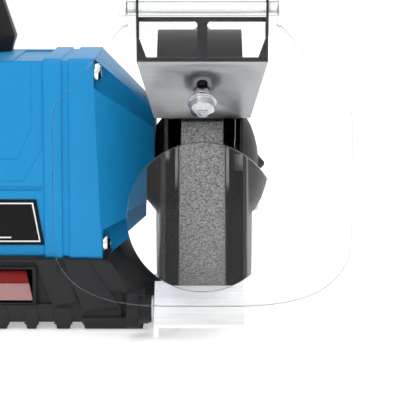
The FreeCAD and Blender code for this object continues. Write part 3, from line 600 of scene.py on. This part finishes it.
def screw_places():
    """Where the cover screws stand in (y, z): a little nearer the corners than the frame's."""
    return [(sign * (SCREW_Y + SCREW_OUT), z) for sign in (-1, 1)
            for z in (SCREW_LOW_Z - SCREW_DOWN, SCREW_HIGH_Z + SCREW_UP)]


def cover_screws():
    """The frame's screws moved to screw_places, with larger heads; the lower heads stand further out."""
    screws = from_node("cover_screws", 0.6)
    for vertex in screws.data.vertices:
        x, y, z = vertex.co / MM
        lower = z < AXIS_Z
        if abs(x) > SCREW_SEAT_X - 2:
            middle_y = math.copysign(SCREW_Y, y)
            middle_z = SCREW_LOW_Z if lower else SCREW_HIGH_Z
            y = middle_y + (y - middle_y) * SCREW_HEAD_SCALE
            z = middle_z + (z - middle_z) * SCREW_HEAD_SCALE
            x += math.copysign(SCREW_HEAD_OUT + (CREASE_LEAN if lower else 0.0), x)
        y += math.copysign(SCREW_OUT, y)
        z += -SCREW_DOWN if lower else SCREW_UP
        vertex.co = Vector((x, y, z)) * MM
    place(screws, "chrome", "cover_screws")


def small_end(inset):
    """Section of an end cover at its narrow end in (y, z)."""
    return cut_corners(END_DEPTH - inset, AXIS_Z - END_LOW + inset, AXIS_Z + END_TOP - inset, END_CORNER)


def crease_ring(inset):
    """Ring where the taper starts; it leans outwards towards the bottom."""
    start = COVER_FULL_X - inset / 3
    height = HOUSING_TOP - HOUSING_BOTTOM
    return [(start + CREASE_LEAN * (HOUSING_TOP - z) / height, y, z) for y, z in octagon(inset)]


def screw_channel(y, z, wall=0.0):
    """Groove from a screw's seat along the tapering corner of the end cover, or the wall round it."""
    start_r, end_r, reach = 9.2, 6.0, COVER_END_X + 6.0
    lower = z < AXIS_Z
    seat = SCREW_SEAT_X + (CREASE_LEAN if lower else 0.0)
    y = math.copysign(HOUSING_FRONT - 3.0, y)
    end_y = math.copysign(END_DEPTH - 2.0, y)
    end_z = AXIS_Z - END_LOW + 2.5 if lower else AXIS_Z + END_TOP - 3.5
    grow = (reach - seat) / (COVER_END_X - seat)
    end_y = y + (end_y - y) * grow
    end_z = z + (end_z - z) * grow
    return loft("tool", [ring_at(seat - wall, circle(y, z, start_r + wall, 48)),
                         ring_at(reach, circle(end_y, end_z, end_r + wall, 48))])


def end_covers():
    """Right cover with its walled screw channels and spindle hole, and its mirror image."""
    wall, channel_wall, post_r, hole_r, spindle_r = 3.0, 2.4, 11.0, 2.2, 15.0
    cover = loft("right_end_cover_look",
                 [ring_at(SHELL_END_X, octagon(1.2)), ring_at(60.2, octagon(1.2)),
                  ring_at(61.4, octagon(0.0)), crease_ring(0.0), ring_at(COVER_END_X, small_end(0.0))])
    hollow = loft("tool", [ring_at(SHELL_END_X - 1, octagon(wall)), crease_ring(wall),
                           ring_at(COVER_END_X - wall, small_end(wall))])
    cut(cover, hollow)
    posts = []
    for y, z in screw_places():
        posts.append(cylinder_x("tool", SHELL_END_X + 0.5, COVER_END_X - 10, post_r, y, z))
        posts.append(screw_channel(y, z, channel_wall))
    for post in posts:
        limit = loft("limit", [ring_at(SHELL_END_X + 0.4, octagon(1.9)), crease_ring(0.9),
                               ring_at(COVER_END_X - 0.9, small_end(0.9))])
        combine(post, [limit], "INTERSECT")
    join(cover, *posts)
    channels = [screw_channel(y, z) for y, z in screw_places()]
    holes = [cylinder_x("tool", SHELL_END_X - 2, SCREW_SEAT_X + 2, hole_r, y, z, 24)
             for y, z in screw_places()]
    cut(cover, *channels)
    cut(cover, *holes, cylinder_x("tool", COVER_END_X - 6, COVER_END_X + 2, spindle_r, 0, AXIS_Z))
    round_edges(cover, 1.2, 3, 24.0)
    twin = flipped(cover, "left_end_cover_look")
    place(cover, "blue", "right_end_cover")
    place(twin, "blue", "left_end_cover")


PLATE_TOP_Z, PLATE_LOW_Z = 77.4, 50.0
PLATE_TOP_HALF, PLATE_LOW_HALF = 41.2, 45.8


def plate_outline(inset, tuck=0.0):
    """Outline of the name plate in (x, z), shrunk by an inset; tuck narrows its lower corners."""
    low_half = PLATE_LOW_HALF - tuck - inset
    top_half = PLATE_TOP_HALF - inset
    high, low = PLATE_TOP_Z - inset, PLATE_LOW_Z + inset
    return [(-top_half, high), (top_half, high), (low_half, low), (-low_half, low)]


def name_plate():
    """Dark plate with a pale border line and one plain rule."""
    box_low, box_high = node_mm("name_plate")
    front, back = box_low[1], box_high[1]
    plate = prism_y("name_plate_look", plate_outline(0.0), front, back)
    round_edges(plate, 0.3, 2)
    place(plate, "plate", "name_plate")

    line_front, line_back, tuck = front - 0.12, front + 0.3, 0.4
    border = cut(prism_y("name_plate_border", plate_outline(1.9, tuck), line_front, line_back),
                 prism_y("tool", plate_outline(2.7, tuck), front - 2, front + 2))
    join(border, block("tool", -26.0, 26.0, line_front, line_back, 54.2, 55.0))
    border.data.materials.append(MATERIALS["border"])
    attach(border, body_of_node("name_plate"))


# ---- base -------------------------------------------------------------------------------
# (height, half width, half depth) from the foot up
BASE_RINGS = ((5.0, 110.0, 66.5), (10.0, 113.8, 69.0), (27.0, 111.0, 66.0),
              (42.0, 93.0, 58.5), (46.0, 90.0, 56.0))
BASE_CORNER = 13.0
BASE_BLOCKS = ((12.0, 24.7), (34.0, 42.4), (51.8, 62.4))
LONG_FOOT = (68.5, 106.0)
# outline in (x, z) of each raised panel on the right half of the front, and its height
BASE_PANELS = (([(57.1, 41.5), (71.2, 41.5), (91.2, 15.0), (69.4, 12.2)], 2.8),
               ([(43.5, 41.5), (53.5, 41.5), (66.0, 17.5), (52.8, 15.5)], 2.4),
               ([(71.2, 41.5), (83.0, 40.5), (97.0, 24.0), (84.5, 24.0)], 1.2),
               ([(83.5, 41.0), (85.5, 40.0), (97.0, 24.0), (93.0, 22.5)], 2.8))


def base_ring(z, half_x, half_y):
    return [(x, y, z) for x, y in cut_corners(half_x, -half_y, half_y, BASE_CORNER)]


def base_front(z):
    """Y of the base's front wall at a height."""
    for (z0, _, y0), (z1, _, y1) in zip(BASE_RINGS, BASE_RINGS[1:]):
        if z <= z1:
            return -(y0 + (y1 - y0) * (z - z0) / (z1 - z0))
    return -BASE_RINGS[-1][2]


def front_pad(outline, rise, sink=2.0):
    """A raised panel that follows the slope of the base's front wall."""
    walls = [(x, base_front(max(z, BASE_RINGS[0][0])), z) for x, z in outline]
    return loft("tool", [[(x, y - rise, z) for x, y, z in walls],
                         [(x, y + sink, z) for x, y, z in walls]])


def foot_block(x0, x1):
    """A block across the whole depth of the base that narrows towards the floor."""
    top, floor, lean = 8.0, 0.5, 1.5
    return loft("tool", [[(x0, -68.5, top), (x1, -68.5, top), (x1, 68.0, top), (x0, 68.0, top)],
                         [(x0 + lean, -66.5, floor), (x1 - lean, -66.5, floor),
                          (x1 - lean, 65.5, floor), (x0 + lean, 65.5, floor)]])


def base_pads(sign):
    """What stands out from the base on one half: panels, blocks, feet and the foot's front strip."""
    pads = [front_pad([(sign * x, z) for x, z in outline], rise) for outline, rise in BASE_PANELS]
    for ends in BASE_BLOCKS:
        a, b = sorted(sign * x for x in ends)
        pads.append(front_pad([(a, 3.6), (b, 3.6), (b - 0.8, 13.5), (a + 0.8, 13.5)], 1.6))
    for ends in (*BASE_BLOCKS, LONG_FOOT):
        pads.append(foot_block(*sorted(sign * x for x in ends)))
    a, b = sorted((sign * LONG_FOOT[0], sign * 108.0))
    pads.append(front_pad([(a, 4.0), (b, 4.0), (b, 7.6), (a, 7.6)], 1.8))
    return pads


def base():
    """Hollow base with its panels and feet, the switch's pocket and the knobs' recesses."""
    body = loft("base_look", [base_ring(*ring) for ring in BASE_RINGS])
    hollow = loft("tool", [base_ring(4.0, 107.0, 63.5), base_ring(10.0, 110.8, 66.0),
                           base_ring(27.0, 108.0, 63.0), base_ring(40.0, 90.0, 55.5)])
    cut(body, hollow)
    bezel_low, bezel_high = node_mm("switch_bezel")
    x0, x1, z0, z1 = bezel_low[0], bezel_high[0], bezel_low[2], bezel_high[2]
    outside, backing_front, backing_back = -80.0, -65.0, -60.5
    pads = base_pads(-1) + base_pads(1)
    pads.append(block("tool", x0 - 5.0, x1 + 12.0, backing_front, backing_back, z0 - 2.0, z1 + 4.0))
    tools = []
    for sign in (-1, 1):
        a, b = sorted((sign * 88.0, sign * 106.0))
        pads.append(block("tool", a, b, backing_front, backing_back, 6.0, 25.0))
        a, b = sorted((sign * 91.8, sign * 103.0))
        tools.append(block("tool", a, b, outside, -64.6, 8.4, 22.0))
    join(body, *pads)
    tools.append(prism_y("tool", [(x0 - 3.0, z1 + 2.5), (x1 - 1.0, z1 + 2.5), (x1 + 9.5, z0 + 0.4),
                                  (x0 + 7.0, z0 + 0.4)], outside, -64.0))
    tools.append(block("tool", x0, x1, outside, -45.0, z0, z1))
    tools.append(block("tool", -24.0, 24.0, -20.0, 20.0, 30.0, 50.0))
    cut(body, *tools)
    round_edges(body, 0.6, 2)
    place(body, "base", "base_shell")


def rocker():
    """See-saw rocker: deep red above its middle, a paler pinkish grey, glossier half below, with
    slanting sides.
    """
    low, high = node_mm("switch_rocker")
    mid_x, mid_z = (low[0] + high[0]) / 2, (low[2] + high[2]) / 2 + 1.4
    half, slant, back = (high[0] - low[0]) / 2, 1.6, -56.0
    halves = (("rocker_upper", "red", mid_z + 0.1, high[2] + 0.6, -65.6, -63.0),
              ("rocker_lower", "pale_pink", low[2] - 0.6, mid_z - 0.1, -68.0, -65.6))
    for name, material, z0, z1, y0, y1 in halves:
        lean0, lean1 = ((mid_z - z) / (high[2] - mid_z) * slant for z in (z0, z1))
        outline = [(mid_x - half + lean0, z0), (mid_x + half - slant + lean0, z0),
                   (mid_x + half - slant + lean1, z1), (mid_x - half + lean1, z1)]
        fronts = (y0, y0, y1, y1)
        piece = loft(name, [[(x, y, z) for (x, z), y in zip(outline, fronts)],
                            [(x, back, z) for x, z in outline]])
        round_edges(piece, 0.5, 2)
        if name == "rocker_upper":
            place(piece, material, "switch_rocker")
            continue
        piece.data.materials.append(MATERIALS[material])
        shade(piece)
        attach(piece, body_of_node("switch_rocker"))


# ---- wheel and guard --------------------------------------------------------------------
def wheels():
    bore, rim, step = 6.35, 0.8, 0.25
    half = (wheel_high[0] - wheel_low[0]) / 2
    for side, sign in SIDES:
        left, right = sign * WHEEL_X - half, sign * WHEEL_X + half
        profile = [(left, bore), (left, WHEEL_R - rim), (left + step, WHEEL_R - step),
                   (left + rim, WHEEL_R), (right - rim, WHEEL_R), (right - step, WHEEL_R - step),
                   (right, WHEEL_R - rim), (right, bore)]
        place(lathe_x(side + "_wheel_look", profile, 0, AXIS_Z, 160), "grit", side + "_grinding_wheel")


def guard_covers():
    for side, _ in SIDES:
        cover = from_node(side + "_guard_cover", 0.5, 2)
        place(cover, "guard", side + "_guard_cover", angle=40.0)


# node name, material and edge width of the shapes carried over from the frame
SIDED_LOOKS = (("guard_shell", "guard", 0.6), ("bracket_bolt", "bolt", 0.5), ("shield_rod", "rod", 0.5),
               ("tool_rest", "table", 0.5), ("rest_arm", "sheet", 0.4), ("rest_bolt", "steel", 0.4),
               ("rest_knob", "black", 0.7), ("spindle_nut", "steel", 0.5))
MIDDLE_LOOKS = (("lamp_base", "black", 1.5), ("rubber_feet", "rubber", 0.5),
                ("guard_screws", "steel", 0.5), ("cable_gland", "black", 0.6),
                ("switch_bezel", "black", 0.5), ("lamp_head", "black", 0.8))


def plain_looks():
    """Carried-over shapes: edges rounded to suit each piece."""
    for name, material, width in SIDED_LOOKS:
        for side, _ in SIDES:
            node = side + "_" + name
            place(from_node(node, width), material, node)
    for node, material, width in MIDDLE_LOOKS:
        place(from_node(node, width), material, node)


# places on the bracket, measured from its front and from its top
FRAME_BEHIND_FRONT = 6.5
WINDOW_TOP_DOWN = 12.6
BEND_DOWN = 35.0
BEND_RAISE = 1.4


def round_window_ends(bracket, x, middle_y, top):
    """Give the two windows beside the neck round ends."""
    radius, neck, half_sheet = 2.15, 2.7, 0.9
    for sign in (-1, 1):
        end_x = x + sign * (neck + radius)
        end_z = top - radius
        cut(bracket, cylinder_y("tool", end_x, end_z, radius, middle_y - 3, middle_y + 3))
        a, b = sorted((x + sign * (neck - 1.0), end_x))
        fillet = block("tool", a, b, middle_y - half_sheet, middle_y + half_sheet,
                       top - 2 * radius, end_z)
        cut(fillet, cylinder_y("hole", end_x, end_z, radius, middle_y - 3, middle_y + 3))
        join(bracket, fillet)


def shield_brackets():
    """Bright clamp plate below the bend, which is raised a little, and the upright frame above: the same
    sheet, given a dark grey as painted shade.
    """
    for side, _ in SIDES:
        node = side + "_shield_bracket"
        low, high = node_mm(node)
        bend_z = high[2] - BEND_DOWN
        bracket = copy_of_node(node)
        round_window_ends(bracket, (low[0] + high[0]) / 2, low[1] + FRAME_BEHIND_FRONT,
                          high[2] - WINDOW_TOP_DOWN)
        round_edges(bracket, 0.4, 2)
        for vertex in bracket.data.vertices:
            if vertex.co.z < (bend_z + 6.0) * MM:
                above = (vertex.co.z / MM - low[2]) / (bend_z - low[2])
                vertex.co.z += BEND_RAISE * min(1.0, above) * MM
        place(bracket, "clamp", node)
        # painted shade: faces above the bend get the dark frame steel
        bracket.data.materials.append(MATERIALS["frame"])
        for polygon in bracket.data.polygons:
            if polygon.center.z > bend_z * MM:
                polygon.material_index = 1


def lamp_neck():
    """Gooseneck: a tube with close turned rings along the same path as the frame's."""
    pitch, ring_r, groove_r = 2.6, 6.0, 5.1
    low, high = node_mm("lamp_neck")
    base_top, post_y = low[2], high[1] - ring_r
    bend = (high[1] - low[1]) / 2 - ring_r
    straight_top = high[2] - bend - ring_r
    length_up = straight_top - base_top
    total = length_up + math.pi * bend
    steps = int(total / pitch * 6)
    side = Vector((1, 0, 0))
    rings = []
    for i in range(steps + 1):
        s = total * i / steps
        phase = (s % pitch) / pitch
        r = groove_r + (ring_r - groove_r) * math.sqrt(max(0.0, math.sin(math.pi * phase)))
        if s < length_up:
            centre, out = Vector((0, post_y, base_top + s)), Vector((0, 1, 0))
        else:
            a = (s - length_up) / bend
            centre = Vector((0, post_y - bend + bend * math.cos(a), straight_top + bend * math.sin(a)))
            out = Vector((0, math.cos(a), math.sin(a)))
        rings.append([tuple(centre + out * u + side * v) for u, v in circle(0.0, 0.0, r, 32)])
    place(loft("lamp_neck_look", rings), "black", "lamp_neck", angle=60.0)


# ---- eye shields ------------------------------------------------------------------------
PANE_FRONT_IN = 6.0
PANE_THICK = 3.0
LENS_R, LENS_SAG, LENS_UP = 42.5, 6.0, 51.4
ROLL_HALF, ROLL_R, ROLL_BORE = 42.0, 4.8, 3.4


def shield_outline(half, top, bottom):
    """Outline of the clear pane from its top edge round the broad lower curve."""
    top_half, curve = 44.0, 38.0
    points = [(-top_half, top), (top_half, top), (half - 4.0, top - 42.0), (half - 1.0, top - 47.0),
              (half, top - 54.0), (half, bottom + curve)]
    steps = 18
    for i in range(1, steps):
        a = math.pi / 2 * i / steps
        points.append((half * math.cos(a) ** 0.55, bottom + curve - curve * math.sin(a)))
    points.append((0.0, bottom))
    return points + [(-x, z) for x, z in reversed(points[2:-1])]


def eye_shields():
    """Clear pane with a hole for its magnifier, and a rolled top edge round the hinge rod."""
    low, high = node_mm("right_eye_shield")
    half = (high[0] - low[0]) / 2
    rod_low, rod_high = node_mm("right_shield_rod")
    rod_y = (rod_low[1] + rod_high[1]) / 2
    rod_z = (rod_low[2] + rod_high[2]) / 2
    front = low[1] + PANE_FRONT_IN
    back = front + PANE_THICK
    lens_z = low[2] + LENS_UP
    for side, sign in SIDES:
        x = sign * WHEEL_X
        outline = [(x + dx, z) for dx, z in shield_outline(half, rod_z - 10.0, low[2])]
        pane = prism_y(side + "_pane_look", outline, front, back)
        cut(pane, cylinder_y("tool", x, lens_z, LENS_R, front - 5, front + 9))
        roll = cylinder_x("tool", x - ROLL_HALF, x + ROLL_HALF, ROLL_R, rod_y, rod_z)
        web = block("tool", x - ROLL_HALF, x + ROLL_HALF, front, back, rod_z - 10.5, rod_z - 1.0)
        join(pane, roll, web)
        cut(pane, cylinder_x("tool", x - ROLL_HALF - 1, x + ROLL_HALF + 1, ROLL_BORE, rod_y, rod_z))
        round_edges(pane, 1.4, 3)
        place(pane, "pane", side + "_eye_shield")
        mark_edges_and_roll_shade(pane, rod_z - 9.0)
        lens = lens_piece(side + "_lens", x, front, lens_z)
        lens.data.materials.append(MATERIALS["lens"])
        shade(lens, 30.0)
        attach(lens, side + "_eye_shield")


def mark_edges_and_roll_shade(pane, roll_z):
    """Edge material on what is not flat in the pane, and on the roll's upper and lower sides, where its
    grey is painted shade.
    """
    pane.data.materials.append(MATERIALS["pane_edge_and_roll_shade"])
    for polygon in pane.data.polygons:
        # above roll_z the grey goes on the roll's upper and lower sides as painted shade
        steepest = 0.35 if polygon.center.z > roll_z * MM else 0.96
        if abs(polygon.normal.y) < steepest:
            polygon.material_index = 1


def lens_piece(name, x, front, z):
    """Magnifier: flat at the back, domed towards the user."""
    ball = (LENS_R * LENS_R + LENS_SAG * LENS_SAG) / (2 * LENS_SAG)
    steps = 24
    profile = [(front + PANE_THICK, 0.0), (front + PANE_THICK, LENS_R)]
    for i in range(steps + 1):
        r = LENS_R * (1 - i / steps)
        profile.append((front - LENS_SAG + ball - math.sqrt(ball * ball - r * r), r))
    segments = 96
    rings = []
    for s in range(segments):
        a = 2 * math.pi * s / segments
        rings.append([(x + r * math.cos(a), y, z + r * math.sin(a)) for y, r in profile])
    return revolved(name, rings, False, 1e-5)


# ---- carried-over nodes keep their shape and get a material -------------------------------
NODE_MATERIALS = {
    "sheet": ("base_plate",),
    "chrome": ("bearing_balls",),
    "steel": ("bearing_inner_rings", "bearing_outer_rings", "shaft", "wheel_flanges"),
    "alloy": ("lamp_led_board", "rotor_cage", "stator_saddles", "bearing_bracket"),
    "can": ("capacitor",),
    "fan": ("cooling_fan",),
    "pane": ("lamp_lens",),
    "stack": ("rotor_core", "stator_core"),
    "copper": ("stator_windings",),
    "black": ("switch_body", "terminal_block"),
}


def paint_nodes():
    materials = {node: material for material, nodes in NODE_MATERIALS.items() for node in nodes}
    for node, piece in frame["nodes"].items():
        kind = node.split("_", 1)[1] if node.startswith(("left_", "right_")) else node
        if kind in materials:
            piece.data.materials.clear()
            piece.data.materials.append(MATERIALS[materials[kind]])


housing_middle()
end_covers()
cover_screws()
name_plate()
base()
rocker()
wheels()
guard_covers()
plain_looks()
shield_brackets()
lamp_neck()
eye_shields()
paint_nodes()
